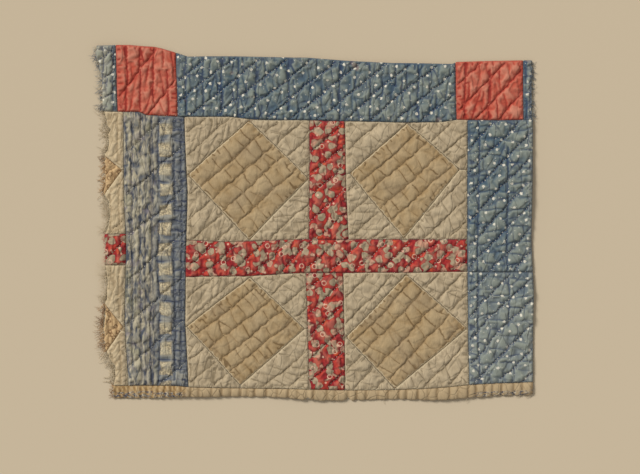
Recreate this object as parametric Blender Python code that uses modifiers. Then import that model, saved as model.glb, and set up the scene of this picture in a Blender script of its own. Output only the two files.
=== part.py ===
"""A hand-pieced patchwork quilt section, lying flat: pieced top, batting, backing and binding.

+X runs along the binding, +Y towards the top border and +Z out of the pieced top.
The origin is on the underside, at the middle of the section's box. Metres throughout.
"""

import bmesh
import bpy
import numpy as np
from mathutils import Vector

# Layers, from the backing up. Neighbouring solids keep SEAM_GAP between them.
CLOTH = 0.0008
BATTING = 0.0037
SEAM_GAP = 0.0003
BATTING_BASE = CLOTH + SEAM_GAP
PATCH_BASE = BATTING_BASE + BATTING + SEAM_GAP
TOP = PATCH_BASE + CLOTH

# The binding is a strip folded round the lower raw edge, pieced from two lengths.
BINDING_BACK_WIDTH = 0.0115
BINDING_STATIONS = 24
BINDING_JOIN_X = -0.0095
BATTING_SETBACK = 0.0010

# Seams that run from left to right, hand sewn and so a little uneven, as (x, y).
TOP_EDGE = [(-0.2800, 0.2180), (-0.2448, 0.2190), (-0.2270, 0.2187), (-0.2110, 0.2172),
            (-0.1970, 0.2165), (-0.1880, 0.2148), (-0.1700, 0.2096), (-0.1550, 0.2045),
            (-0.0100, 0.2035), (0.0380, 0.1995), (0.0950, 0.1960), (0.1700, 0.1955),
            (0.1745, 0.1980), (0.2574, 0.1995), (0.2800, 0.1995)]
BORDER_SEAM = [(-0.2800, 0.1370), (-0.2150, 0.1360), (-0.2065, 0.1320), (-0.1610, 0.1300),
               (-0.1045, 0.1305), (-0.0750, 0.1270), (0.0370, 0.1250), (0.1120, 0.1230),
               (0.1560, 0.1235), (0.1750, 0.1265), (0.2800, 0.1265)]
SASH_TOP = [(-0.1700, -0.0210), (-0.1107, -0.0233), (-0.0074, -0.0212), (0.1950, -0.0207)]
SASH_BOTTOM = [(-0.1700, -0.0668), (-0.0800, -0.0655), (-0.0110, -0.0625), (0.1950, -0.0605)]
BORDER_JOIN = [(0.1700, -0.0610), (0.2800, -0.0615)]
BINDING_SEAM = [(-0.2800, -0.2006), (-0.1660, -0.2008), (-0.1538, -0.2020), (-0.0086, -0.2053),
                (0.0972, -0.2064), (0.1365, -0.2040), (0.1894, -0.1996), (0.2800, -0.1958)]
BOTTOM_EDGE = [(-0.2800, -0.2170), (-0.1980, -0.2170), (-0.1440, -0.2148), (-0.0910, -0.2142),
               (-0.0345, -0.2160), (-0.0112, -0.2190), (0.0455, -0.2188), (0.1008, -0.2180),
               (0.1562, -0.2187), (0.2029, -0.2152), (0.2800, -0.2120)]

# Seams that run up the quilt, bottom to top, as (x, y).
STUB_EDGE = [(-0.2630, 0.1300), (-0.2615, 0.1487), (-0.2620, 0.1780), (-0.2650, 0.1900),
             (-0.2700, 0.2080), (-0.2700, 0.2250)]
CORNER_LEFT_OUTER = [(-0.2413, 0.1300), (-0.2448, 0.2250)]
CORNER_LEFT_INNER = [(-0.1682, 0.1250), (-0.1700, 0.2200)]
CORNER_RIGHT_INNER = [(0.1759, 0.1200), (0.1732, 0.2050)]
CORNER_RIGHT_OUTER = [(0.2574, 0.1200), (0.2574, 0.2050)]
RAW_LEFT_EDGE = [(-0.2470, -0.2250), (-0.2475, -0.2006), (-0.2470, -0.1780), (-0.2575, -0.1590),
                 (-0.2610, -0.1310), (-0.2580, -0.1010), (-0.2550, -0.0780), (-0.2580, -0.0530),
                 (-0.2580, -0.0150), (-0.2535, 0.0060), (-0.2530, 0.0240), (-0.2600, 0.0350),
                 (-0.2580, 0.0600), (-0.2585, 0.0830), (-0.2540, 0.0970), (-0.2530, 0.1150),
                 (-0.2590, 0.1330), (-0.2640, 0.1450)]
STRIP_LEFT = [(-0.2284, -0.2250), (-0.2327, -0.1200), (-0.2315, -0.0214), (-0.2340, 0.0280),
              (-0.2346, 0.1450)]
STRIP_RIGHT = [(-0.1534, -0.2250), (-0.1589, -0.1200), (-0.1572, -0.0214), (-0.1565, 0.0400),
               (-0.1604, 0.1450)]
SASH_LEFT = [(-0.0059, -0.2250), (-0.0076, -0.1340), (-0.0097, -0.0632), (-0.0062, -0.0212),
             (-0.0059, 0.1450)]
SASH_RIGHT = [(0.0376, -0.2250), (0.0373, -0.1400), (0.0360, -0.0615), (0.0427, -0.0212),
              (0.0386, 0.0640), (0.0375, 0.1450)]
BORDER_LEFT = [(0.1909, -0.2250), (0.1889, -0.0605), (0.1885, -0.0214), (0.1892, 0.1450)]
RIGHT_EDGE = [(0.2690, -0.2250), (0.2700, -0.0850), (0.2675, -0.0200), (0.2690, 0.0600),
              (0.2690, 0.2100)]

# Each block's diamond touches the block's sides at these shares of their lengths, in the
# order bottom, right, top, left, and stops short of them by a seam's width.
BLOCKS = {
    "block_upper_left": ((0.51, 0.51, 0.48, 0.47), (0.0015, 0.0010, 0.0015, 0.0015)),
    "block_upper_right": ((0.465, 0.585, 0.495, 0.44), (0.0015, 0.0095, 0.0006, 0.0050)),
    "block_lower_left": ((0.43, 0.52, 0.47, 0.45), (0.0035, 0.0040, 0.0015, 0.0015)),
    "block_lower_right": ((0.40, 0.50, 0.49, 0.55), (0.0015, 0.0015, 0.0020, 0.0020)),
}

# The neighbouring column of blocks was cut through: two diamond tips and a sash end remain.
UPPER_TIP = (-0.2363, 0.0651)
UPPER_TIP_RISE = (0.0830, 0.0337)
LOWER_TIP = (-0.2342, -0.1282)
LOWER_TIP_RISE = (-0.0995, -0.1600)
SASH_END_TOP = [(-0.2800, -0.0145), (-0.2200, -0.0145)]
SASH_END_BOTTOM = [(-0.2800, -0.0526), (-0.2200, -0.0526)]

# Fabric colours, linear, with their roughness.
FABRICS = {
    "indigo_dotted": ((0.15, 0.17, 0.18), 0.90),
    "coral_red": ((0.42, 0.12, 0.07), 0.88),
    "red_print": ((0.36, 0.09, 0.06), 0.88),
    "floral_stripe": ((0.21, 0.20, 0.16), 0.90),
    "tan_cotton": ((0.34, 0.24, 0.14), 0.90),
    "cream_muslin": ((0.42, 0.33, 0.22), 0.92),
    "brown_print": ((0.36, 0.22, 0.11), 0.90),
    "binding_tan": ((0.34, 0.24, 0.14), 0.90),
    "batting_wool": ((0.62, 0.56, 0.45), 0.98),
    "backing_muslin": ((0.45, 0.37, 0.26), 0.92),
}


def point_on(seam, value, axis):
    """Return the point of a seam at one value of x (axis 0) or y (axis 1)."""
    known = [point[axis] for point in seam]
    found = [np.interp(value, known, [point[other] for point in seam]) for other in (0, 1)]
    return Vector(found)


def crossing(across, upright):
    """Return where a left-right seam meets an up-down seam."""
    point = Vector(upright[len(upright) // 2])
    for _ in range(12):
        point = point_on(across, point.x, 0)
        point = point_on(upright, point.y, 1)
    return point


def stretch(seam, start, end, axis):
    """Return a seam's points between two values of x or y, in the order asked for."""
    low, high = sorted((start, end))
    inner = [Vector(point) for point in seam if low + 0.001 < point[axis] < high - 0.001]
    points = [point_on(seam, low, axis)] + inner + [point_on(seam, high, axis)]
    return points if start < end else points[::-1]


def cell_sides(left, right, below, above):
    """Return the four sides that seams cut out, anticlockwise from the bottom one."""
    corners = [crossing(below, left), crossing(below, right),
               crossing(above, right), crossing(above, left)]
    return [stretch(below, corners[0].x, corners[1].x, 0),
            stretch(right, corners[1].y, corners[2].y, 1),
            stretch(above, corners[2].x, corners[3].x, 0),
            stretch(left, corners[3].y, corners[0].y, 1)]


def joined(*sides):
    """Return one closed outline from sides that follow each other."""
    outline = []
    for point in (Vector(point) for side in sides for point in side):
        if not outline or (point - outline[-1]).length > 0.0002:
            outline.append(point)
    if (outline[0] - outline[-1]).length <= 0.0002:
        outline.pop()
    return outline


def portion(side, start, end):
    """Return the stretch of a side between two shares of its length."""
    lengths = [(b - a).length for a, b in zip(side, side[1:])]
    shares = np.cumsum([0.0] + lengths) / sum(lengths)
    inner = [share for share in shares if start < share < end]
    return [Vector([np.interp(share, shares, [point[axis] for point in side]) for axis in (0, 1)])
            for share in [start] + inner + [end]]


def shrunk(outline, distance):
    """Return an anticlockwise outline moved inwards by a distance."""
    moved = []
    for before, point, after in zip(outline[-1:] + outline[:-1], outline, outline[1:] + outline[:1]):
        incoming = (point - before).normalized()
        outgoing = (after - point).normalized()
        inward = Vector((-incoming.y - outgoing.y, incoming.x + outgoing.x)).normalized()
        turn = max(0.2, inward.dot(Vector((-incoming.y, incoming.x))))
        moved.append(point + inward * (distance / turn))
    return moved


def make_collection(name):
    """Add a collection to the scene."""
    collection = bpy.data.collections.new(name)
    bpy.context.scene.collection.children.link(collection)
    return collection


def make_material(name):
    """Return a plain woven-cotton material in one of the quilt's colours."""
    colour, roughness = FABRICS[name]
    material = bpy.data.materials.new(name)
    material.use_nodes = True
    shader = material.node_tree.nodes["Principled BSDF"]
    shader.inputs["Base Color"].default_value = (*colour, 1.0)
    shader.inputs["Roughness"].default_value = roughness
    shader.inputs["Metallic"].default_value = 0.0
    return material


def add_sheet(name, outline, base, thickness, fabric, collection, margin=SEAM_GAP / 2):
    """Add a flat piece of cloth or wadding with the given outline."""
    curve = bpy.data.curves.new(name, "CURVE")
    curve.dimensions = "2D"
    curve.fill_mode = "BOTH"
    curve.extrude = thickness / 2
    spline = curve.splines.new("POLY")
    points = shrunk(outline, margin)
    spline.points.add(len(points) - 1)
    for target, point in zip(spline.points, points):
        target.co = (point.x, point.y, 0.0, 1.0)
    spline.use_cyclic_u = True
    curve.materials.append(make_material(fabric))
    sheet = bpy.data.objects.new(name, curve)
    sheet.location.z = base + thickness / 2
    collection.objects.link(sheet)


def add_patch(name, outline, fabric, collection):
    """Add one piece of the pieced top."""
    add_sheet(name, outline, PATCH_BASE, CLOTH, fabric, collection)


def add_top_border(collection):
    """Add the dotted top border with its two corner squares and their end stubs."""
    uprights = [STUB_EDGE, CORNER_LEFT_OUTER, CORNER_LEFT_INNER, CORNER_RIGHT_INNER,
                CORNER_RIGHT_OUTER, RIGHT_EDGE]
    pieces = [("border_top_left_end", "indigo_dotted"), ("corner_square_left", "coral_red"),
              ("border_top", "indigo_dotted"), ("corner_square_right", "coral_red"),
              ("border_top_right_end", "indigo_dotted")]
    for (name, fabric), left, right in zip(pieces, uprights, uprights[1:]):
        add_patch(name, joined(*cell_sides(left, right, BORDER_SEAM, TOP_EDGE)), fabric, collection)


def add_strips(collection):
    """Add the right border, the floral strip and the sashing between the blocks."""
    pieces = [
        ("border_right_upper", BORDER_LEFT, RIGHT_EDGE, BORDER_JOIN, BORDER_SEAM, "indigo_dotted"),
        ("border_right_lower", BORDER_LEFT, RIGHT_EDGE, BINDING_SEAM, BORDER_JOIN, "indigo_dotted"),
        ("floral_strip", STRIP_LEFT, STRIP_RIGHT, BINDING_SEAM, BORDER_SEAM, "floral_stripe"),
        ("sash_vertical_upper", SASH_LEFT, SASH_RIGHT, SASH_TOP, BORDER_SEAM, "red_print"),
        ("sash_vertical_lower", SASH_LEFT, SASH_RIGHT, BINDING_SEAM, SASH_BOTTOM, "red_print"),
        ("sash_horizontal", STRIP_RIGHT, BORDER_LEFT, SASH_BOTTOM, SASH_TOP, "red_print"),
    ]
    for name, left, right, below, above, fabric in pieces:
        add_patch(name, joined(*cell_sides(left, right, below, above)), fabric, collection)


def add_block(name, sides, touches, insets, collection):
    """Add one block: a tan diamond with a cream triangle at each of its corners."""
    contacts = []
    corners = []
    for side, touch, inset in zip(sides, touches, insets):
        contact = portion(side, touch, 1.0)[0]
        run = (side[-1] - side[0]).normalized()
        contacts.append(contact)
        corners.append(contact + Vector((-run.y, run.x)) * inset)
    add_patch(f"{name}_diamond", corners, "tan_cotton", collection)
    places = ["corner_bottom_right", "corner_top_right", "corner_top_left", "corner_bottom_left"]
    for index, place in enumerate(places):
        after = (index + 1) % 4
        outline = joined(portion(sides[index], touches[index], 1.0),
                         portion(sides[after], 0.0, touches[after]),
                         [corners[after], corners[index]])
        add_patch(f"{name}_{place}", outline, "cream_muslin", collection)


def add_blocks(collection):
    """Add the four blocks between the sashing and the borders."""
    places = {
        "block_upper_left": (STRIP_RIGHT, SASH_LEFT, SASH_TOP, BORDER_SEAM),
        "block_upper_right": (SASH_RIGHT, BORDER_LEFT, SASH_TOP, BORDER_SEAM),
        "block_lower_left": (STRIP_RIGHT, SASH_LEFT, BINDING_SEAM, SASH_BOTTOM),
        "block_lower_right": (SASH_RIGHT, BORDER_LEFT, BINDING_SEAM, SASH_BOTTOM),
    }
    for name, seams in places.items():
        touches, insets = BLOCKS[name]
        add_block(name, cell_sides(*seams), touches, insets, collection)


def add_cut_block(name, tip, rise, below, above, collection):
    """Add what is left of a neighbouring block: its diamond's tip between two cream corners."""
    tip = Vector(tip)
    high = point_on(RAW_LEFT_EDGE, rise[0], 1)
    low = point_on(RAW_LEFT_EDGE, rise[1], 1)
    contact = point_on(STRIP_LEFT, tip.y, 1)
    foot = crossing(below, STRIP_LEFT)
    head = crossing(above, STRIP_LEFT)
    raw_head = crossing(above, RAW_LEFT_EDGE)
    raw_foot = crossing(below, RAW_LEFT_EDGE)
    add_patch(f"{name}_diamond_tip", joined([tip], stretch(RAW_LEFT_EDGE, high.y, low.y, 1)),
              "brown_print", collection)
    add_patch(f"{name}_corner_top",
              joined([tip], stretch(STRIP_LEFT, contact.y, head.y, 1),
                     stretch(above, head.x, raw_head.x, 0),
                     stretch(RAW_LEFT_EDGE, raw_head.y, high.y, 1)),
              "cream_muslin", collection)
    add_patch(f"{name}_corner_bottom",
              joined([tip], stretch(RAW_LEFT_EDGE, low.y, raw_foot.y, 1),
                     stretch(below, raw_foot.x, foot.x, 0),
                     stretch(STRIP_LEFT, foot.y, contact.y, 1)),
              "cream_muslin", collection)


def add_cut_column(collection):
    """Add the cut-through column of patches left of the floral strip."""
    add_cut_block("neighbour_upper", UPPER_TIP, UPPER_TIP_RISE, SASH_END_TOP, BORDER_SEAM, collection)
    add_cut_block("neighbour_lower", LOWER_TIP, LOWER_TIP_RISE, BINDING_SEAM, SASH_END_BOTTOM,
                  collection)
    add_patch("neighbour_sash_end",
              joined(*cell_sides(RAW_LEFT_EDGE, STRIP_LEFT, SASH_END_BOTTOM, SASH_END_TOP)),
              "red_print", collection)


def layer_outline(lift):
    """Return the outline of the batting or the backing, its lower edge raised by lift."""
    lower = [(x, y + lift) for x, y in BOTTOM_EDGE]
    foot = crossing(lower, RAW_LEFT_EDGE)
    lower_right = crossing(lower, RIGHT_EDGE)
    upper_right = crossing(TOP_EDGE, RIGHT_EDGE)
    upper_left = crossing(TOP_EDGE, STUB_EDGE)
    stub_foot = crossing(BORDER_SEAM, STUB_EDGE)
    raw_head = crossing(BORDER_SEAM, RAW_LEFT_EDGE)
    return joined(stretch(lower, foot.x, lower_right.x, 0),
                  stretch(RIGHT_EDGE, lower_right.y, upper_right.y, 1),
                  stretch(TOP_EDGE, upper_right.x, upper_left.x, 0),
                  stretch(STUB_EDGE, upper_left.y, stub_foot.y, 1),
                  stretch(RAW_LEFT_EDGE, raw_head.y, foot.y, 1))


def add_layers(collection):
    """Add the backing, which stops at the binding's back edge, and the batting inside its fold."""
    backing_lift = BINDING_BACK_WIDTH + SEAM_GAP
    add_sheet("backing", layer_outline(backing_lift), 0.0, CLOTH, "backing_muslin", collection)
    batting_lift = CLOTH + SEAM_GAP - BATTING_SETBACK
    add_sheet("batting", layer_outline(batting_lift), BATTING_BASE, BATTING, "batting_wool",
              collection, margin=BATTING_SETBACK)


def add_binding(name, start, end, collection):
    """Add a length of binding: a strip folded round the lower edge, open towards the quilt."""
    mesh = bpy.data.meshes.new(name)
    bm = bmesh.new()
    bmesh.ops.create_grid(bm, x_segments=BINDING_STATIONS, y_segments=3, size=0.5)
    for vertex in bm.verts:
        x = start + (end - start) * (vertex.co.x + 0.5)
        edge = point_on(BOTTOM_EDGE, x, 0).y
        seam = point_on(BINDING_SEAM, x, 0).y - SEAM_GAP / 2
        rails = [(edge + BINDING_BACK_WIDTH, 0.0), (edge, 0.0), (edge, TOP), (seam, TOP)]
        rail = rails[round((vertex.co.y + 0.5) * 3)]
        vertex.co = (x, *rail)
    bm.to_mesh(mesh)
    bm.free()
    mesh.materials.append(make_material("binding_tan"))
    binding = bpy.data.objects.new(name, mesh)
    collection.objects.link(binding)
    solidify = binding.modifiers.new("cloth", "SOLIDIFY")
    solidify.thickness = CLOTH
    solidify.offset = -1.0
    solidify.use_even_offset = True


def add_bindings(collection):
    """Add the two lengths of binding, which meet below the sashing."""
    left = crossing(BINDING_SEAM, RAW_LEFT_EDGE).x
    right = crossing(BINDING_SEAM, RIGHT_EDGE).x
    add_binding("binding_left", left, BINDING_JOIN_X - SEAM_GAP / 2, collection)
    add_binding("binding_right", BINDING_JOIN_X + SEAM_GAP / 2, right, collection)


def main():
    """Build the quilt section in an empty scene."""
    for obj in list(bpy.data.objects):
        bpy.data.objects.remove(obj)
    quilt = make_collection("patchwork_quilt_section")
    add_top_border(quilt)
    add_strips(quilt)
    add_blocks(quilt)
    add_cut_column(quilt)
    add_bindings(quilt)
    add_layers(quilt)


main()
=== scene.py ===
"""Patchwork quilt section: hand-quilted cloth, stitches, worn edges and a gathered binding.

Every patch is cut from its CAD node's outline, puckered between its quilting lines by one cloth
simulation, and given a procedural cotton. Metres throughout, in the CAD model's frame.
"""

import math

import bmesh
import bpy
import numpy as np
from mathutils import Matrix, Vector, geometry, kdtree, noise
from mathutils.bvhtree import BVHTree


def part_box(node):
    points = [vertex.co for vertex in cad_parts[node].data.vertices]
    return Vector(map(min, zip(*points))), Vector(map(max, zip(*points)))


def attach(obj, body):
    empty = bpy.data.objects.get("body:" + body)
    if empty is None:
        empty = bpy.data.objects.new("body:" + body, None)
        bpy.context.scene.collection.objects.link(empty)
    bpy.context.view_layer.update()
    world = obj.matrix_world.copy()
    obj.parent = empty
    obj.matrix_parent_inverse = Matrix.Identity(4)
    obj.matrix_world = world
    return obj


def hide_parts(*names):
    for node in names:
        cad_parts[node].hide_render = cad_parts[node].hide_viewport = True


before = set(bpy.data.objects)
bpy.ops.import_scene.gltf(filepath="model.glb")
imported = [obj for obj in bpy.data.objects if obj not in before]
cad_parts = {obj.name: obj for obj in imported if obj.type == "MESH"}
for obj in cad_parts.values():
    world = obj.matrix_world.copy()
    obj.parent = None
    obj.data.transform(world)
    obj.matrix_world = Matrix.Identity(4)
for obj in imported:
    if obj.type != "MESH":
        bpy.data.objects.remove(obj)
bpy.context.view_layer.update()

BODY = "root"
RANDOM = np.random.default_rng(17)

# Heights of the layers, and the cloth's thickness.
CLOTH = 0.00045
BACKING_BASE = 0.0003
SEAM_HEIGHT = 0.0024
# Patches reach this far over their outlines, so that no gap opens at a seam.
SEAM_CLOSE = 0.00014

# How the section lies: sideways skew, gentle swell, and edges that lift off the floor.
SKEW = 0.0010
UNDULATION = 0.0008
EDGE_LIFT = 0.0030
EDGE_REACH = 0.022

# Running stitches, and for each colour of thread the fabrics that it is sewn in, a slot name
# that nothing reads, and its dark and light display values.
STITCH = 0.0023
STITCH_PITCH = 0.0043
STITCH_RADIUS = 0.00030
STITCHES = {
    "white": (("indigo_dotted", "red_print", "floral_stripe"), "backing_muslin",
              (176, 172, 156), (214, 208, 190)),
    "brown": (("tan_cotton", "cream_muslin", "brown_print"), "tan_cotton",
              (96, 76, 50), (138, 116, 84)),
}

# Raw edges: how close a point lies to one that is part of it, how far the cut points stray at the
# left and at the right, and the loose yarns along it.
RAW_REACH = 0.0016
TATTER_LEFT = 0.0026
TATTER_RIGHT = 0.0016
FRAY_GAP = 0.0016
YARN_RADIUS = 0.00017
YARN_PIECES = 9
TUBE_SIDES = 5

# The binding: gathered into pleats, worn at its left end, with two notches in its lower edge.
BINDING_BASE = 0.0016
PLEAT_GAP = (0.0085, 0.0165)
PLEAT_GAP_WORN = (0.0045, 0.0085)
WORN_END = -0.158
NOTCHES = (-0.0076, 0.0416)
# Its section, as shares of the way from the seam to the fold and back under, and heights there.
BINDING_PROFILE = ((0.0, 0.15), (0.06, 0.45), (0.2, 0.85), (0.4, 1.0), (0.62, 0.98), (0.8, 0.8),
                   (0.93, 0.5), (1.0, 0.1), (1.05, -0.15), (1.2, -0.25), (1.5, -0.25), (1.9, -0.25))

# Spacing of the batting's and the backing's points.
BATTING_STEP = 0.0055

# Pitch of the woven threads, and of the blossoms down the floral strip.
THREAD_PITCH = 0.0007
BLOSSOM_GAP = 0.0245

# The studio: floor half width, sun, fill light and camera.
FLOOR = 6.0
KEY_ENERGY = 3.0
KEY_FROM = (-0.62, 0.55, 0.62)
FILL = 0.42
CAMERA = (0.0071, -0.0177, 2.191)

# The simulated cloth: spacing of its points, the heights they start at, and the height of a puff
# that counts as full.
STEP = 0.0026
CREASE_LIFT = 0.0009
FREE_LIFT = 0.0022
FOLD_LIFT = 0.0003
FULL_PUFF = 0.0045
SIM_SCALE = 10.0
SIM_FRAMES = 26

# Quilting lines: their spacing, and how far lines and creases keep from the seams. Then the gap
# between the short puckers along the seams.
LINE_SPACING = 0.0205
LINE_MARGIN = 0.0014
CREASE_MARGIN = 0.0016
PUCKER_GAP = (0.0065, 0.0125)

# How each kind of patch is quilted: the angle of its lines and creases in degrees, the mean gap
# between creases, and a point that one of its quilting lines passes through. Some have upright folds,
# at shares of their width. A diamond's rows are at distances from its upper left seam.
QUILTING = {
    "border_top": {"fabric": "indigo_dotted", "angle": 39, "through": (-0.0320, 0.1774),
                   "crease": 92, "gap": 0.016,
                   "folds": (0.036, 0.097, 0.159, 0.217, 0.28, 0.40, 0.58, 0.69, 0.78, 0.86)},
    "border_right": {"fabric": "indigo_dotted", "angle": 46, "through": (0.2278, -0.1068),
                     "crease": 2, "gap": 0.019, "folds": (0.17, 0.62)},
    "corner_square_left": {"fabric": "coral_red", "angle": 51, "through": (-0.2217, 0.1793),
                           "spacing": 0.043, "crease": 96, "gap": 0.021,
                           "folds": (0.18, 0.40, 0.62, 0.84)},
    "corner_square_right": {"fabric": "coral_red", "angle": 46, "through": (0.2031, 0.1640),
                            "crease": 88, "gap": 0.017, "folds": (0.15, 0.5)},
    "floral_strip": {"fabric": "floral_stripe", "angle": 40, "through": (-0.1727, 0.0839),
                     "spacing": 0.041, "line": 0.6, "crease": 3, "gap": 0.013, "creased_from": 0.74,
                     "folds": (0.13, 0.26, 0.42, 0.545, 0.785, 0.89)},
    "block_upper_left": {"angle": 40.5, "through": (-0.1420, 0.0420), "crease": 128, "gap": 0.0155,
                         "rows": (0.0217, 0.0426, 0.0612, 0.0834)},
    "block_upper_right": {"angle": 41.5, "through": (0.0560, 0.0490), "crease": 130, "gap": 0.0165,
                          "rows": (0.0169, 0.0335, 0.0568, 0.0759)},
    "block_lower_left": {"angle": 38.5, "through": (-0.1470, -0.1370), "crease": 124, "gap": 0.0120,
                         "rows": (0.0148, 0.0381, 0.0578, 0.0750)},
    "block_lower_right": {"angle": 46.0, "through": (0.0460, -0.1455), "crease": 135, "gap": 0.0155,
                          "rows": (0.0105, 0.0289, 0.0523, 0.0726, 0.0919)},
    "sash": {"fabric": "red_print", "angle": 43, "through": (0.0170, 0.0500), "crease": 95,
             "gap": 0.015},
    "neighbour_upper": {"angle": 43, "through": (-0.2500, 0.0640), "spacing": 0.055, "crease": 88,
                        "gap": 0.012, "folds": (0.3, 0.68)},
    "neighbour_lower": {"angle": 43, "through": (-0.2480, -0.1320), "spacing": 0.055, "crease": 95,
                        "gap": 0.012, "folds": (0.3, 0.68)},
    "neighbour_sash": {"fabric": "red_print", "angle": 43, "through": (-0.2450, -0.0330),
                       "crease": 90, "gap": 0.012},
}
# How much fuller than its stitched lines each fabric is simulated, how much larger a patch's cloth
# is than its outline, and the share of their simulated puff that the flatter fabrics keep.
FULLNESS = {"indigo_dotted": 0.085, "coral_red": 0.050, "floral_stripe": 0.080, "red_print": 0.065,
            "tan_cotton": 0.045, "cream_muslin": 0.070, "brown_print": 0.070}
FULLEST = max(FULLNESS.values())
LOFT = {"tan_cotton": 0.66, "cream_muslin": 0.72, "brown_print": 0.65}
BINDINGS = ("binding_left", "binding_right")

# How hard the simulation holds each kind of point in place, and its other settings.
PINNED = {"seam": 1.0, "stitch": 1.0, "fold": 0.9, "crease": 0.8}
CLOTH_SETTINGS = {"quality": 4, "mass": 0.1, "tension_stiffness": 30, "compression_stiffness": 30,
                  "shear_stiffness": 12, "bending_stiffness": 4.0, "air_damping": 2,
                  "pin_stiffness": 1.0, "use_pressure": True, "uniform_pressure_force": 8,
                  "vertex_group_mass": "pins", "vertex_group_shrink": "ease",
                  "shrink_min": -FULLEST, "shrink_max": 0.0}

# Loose yarns: their fabric, the patches they come out of, their greatest length, how much they
# hang down, and how many come out at one point.
FRINGES = {
    "cream_yarns_upper": ("cream_muslin", ("neighbour_upper_corner_top",
                                           "neighbour_upper_corner_bottom"), 0.018, 0.6, 3.4),
    "cream_yarns_lower": ("cream_muslin", ("neighbour_lower_corner_top",
                                           "neighbour_lower_corner_bottom"), 0.018, 0.6, 3.4),
    "brown_yarns_upper": ("brown_print", ("neighbour_upper_diamond_tip",), 0.014, 0.5, 2.8),
    "brown_yarns_lower": ("brown_print", ("neighbour_lower_diamond_tip",), 0.017, 0.5, 3.4),
    "red_yarns": ("red_print", ("neighbour_sash_end",), 0.008, 0.2, 1.8),
    "blue_yarns_left": ("indigo_dotted", ("border_top_left_end",), 0.013, 0.4, 3.2),
    "blue_yarns_right": ("indigo_dotted", ("border_top_right_end",), 0.009, 0.3, 2.6),
    "binding_yarns_left": ("brown_print", ("binding_left",), 0.011, 0.2, 3.5),
}
# Where loose threads hang out from under the binding, as shares of its right length.
THREAD_PLACES = (0.05, 0.31, 0.34, 0.52, 0.71, 0.9, 0.95, 0.985, 0.99, 0.995)
# Colours of the threads and yarns, dark and light, as display values.
YARNS = {
    "cream_yarn": ("cream_muslin", (164, 146, 114), (196, 180, 150)),
    "brown_yarn": ("brown_print", (120, 84, 48), (176, 138, 90)),
    "red_yarn": ("red_print", (150, 50, 44), (190, 140, 116)),
    "blue_yarn": ("indigo_dotted", (84, 96, 108), (176, 172, 156)),
}


def cut_side(name):
    """Return the side at which a patch is cut through: -1 left, 1 right, 0 neither."""
    if name.startswith("neighbour") or name in ("border_top_left_end", "binding_left"):
        return -1
    return 1 if name == "border_top_right_end" else 0


def plan_of(name):
    """Return a patch's quilting plan, with its fabric filled in."""
    key = max((key for key in QUILTING if name.startswith(key)), key=len)
    plan = dict(QUILTING[key])
    if "diamond_tip" in name:
        plan["fabric"] = "brown_print"
    elif "diamond" in name:
        plan["fabric"] = "tan_cotton"
        outline = outline_of(name)
        left = outline[outline[:, 0].argmin()]
        top = outline[outline[:, 1].argmax()]
        plan["through"] = tuple(left)
        plan["angle"] = math.degrees(math.atan2(*(top - left)[::-1]))
        plan["crease"] = plan["angle"] + 90
    elif name.endswith("_end") and "folds" in plan:
        plan["folds"] = (0.35, 0.8)
    elif "_corner_" in name and "square" not in name:
        plan["fabric"] = "cream_muslin"
        plan["crease"] = plan["crease"] + 50 * math.sin(len(name) * 2.3)
        plan.pop("rows", None)
    return plan


# ---- outlines and quilting lines


def outline_of(node):
    """Return the outline of a flat CAD node, anticlockwise from above, as an array of (x, y)."""
    bm = bmesh.new()
    bm.from_mesh(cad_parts[node].data)
    bmesh.ops.remove_doubles(bm, verts=bm.verts, dist=1e-6)
    bm.normal_update()
    top = max(vertex.co.z for vertex in bm.verts) - 1e-4
    upward = {face for face in bm.faces if face.normal.z > 0.9 and face.verts[0].co.z > top}
    follow = {}
    for edge in bm.edges:
        upper = [loop for loop in edge.link_loops if loop.face in upward]
        if len(upper) == 1:
            follow[upper[0].vert] = upper[0].link_loop_next.vert
    vertex = next(iter(follow))
    points = []
    for _ in range(len(follow)):
        points.append(tuple(vertex.co.xy))
        vertex = follow[vertex]
    bm.free()
    return np.array(points)


BACKING_OUTLINE = outline_of("backing")


def sides_of(outline):
    """Return the start and the end of each side of an outline."""
    return zip(outline, np.roll(outline, -1, axis=0))


def resampled(outline, step):
    """Return a closed outline with a point at least every step."""
    points = []
    for start, end in sides_of(outline):
        count = max(1, round(np.linalg.norm(end - start) / step))
        points.extend(start + (end - start) * k / count for k in range(count))
    return np.array(points)


def grown(outline, by):
    """Return an anticlockwise outline grown outwards."""
    runs_in = outline - np.roll(outline, 1, axis=0)
    runs_in = runs_in / np.linalg.norm(runs_in, axis=1)[:, None]
    before = np.column_stack([runs_in[:, 1], -runs_in[:, 0]])
    after = np.roll(before, -1, axis=0)
    facing = (before * after).sum(axis=1)
    return outline + by * (before + after) / np.maximum(0.3, 1 + facing)[:, None]


def edge_distance(points, outline):
    """Return each point's distance to an outline."""
    nearest = np.full(len(points), np.inf)
    for start, end in sides_of(outline):
        run = end - start
        share = np.clip((points - start) @ run / (run @ run), 0, 1)
        nearest = np.minimum(nearest, np.linalg.norm(points - start - share[:, None] * run, axis=1))
    return nearest


def inside(points, outline):
    """Return which points lie inside an outline."""
    x, y = points.T
    within = np.zeros(len(points), bool)
    for (x1, y1), (x2, y2) in sides_of(outline):
        if y1 != y2:
            crosses = ((y1 > y) != (y2 > y)) & (x < (x2 - x1) * (y - y1) / (y2 - y1) + x1)
            within ^= crosses
    return within


def wander(value, seed):
    """Return a smooth random value between about -1 and 1."""
    return noise.noise(Vector((value, seed * 7.31, 0.5)))


def runs(points, keep, shortest):
    """Split a line of points into its unbroken runs of kept points."""
    found = [[]]
    for point, kept in zip(points, keep):
        if kept:
            found[-1].append(point)
        else:
            found.append([])
    return [np.array(run) for run in found if len(run) >= shortest]


def tree_of(points):
    """Return a search tree of flat points."""
    tree = kdtree.KDTree(len(points))
    for index, (x, y) in enumerate(points):
        tree.insert((x, y, 0), index)
    tree.balance()
    return tree


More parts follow.
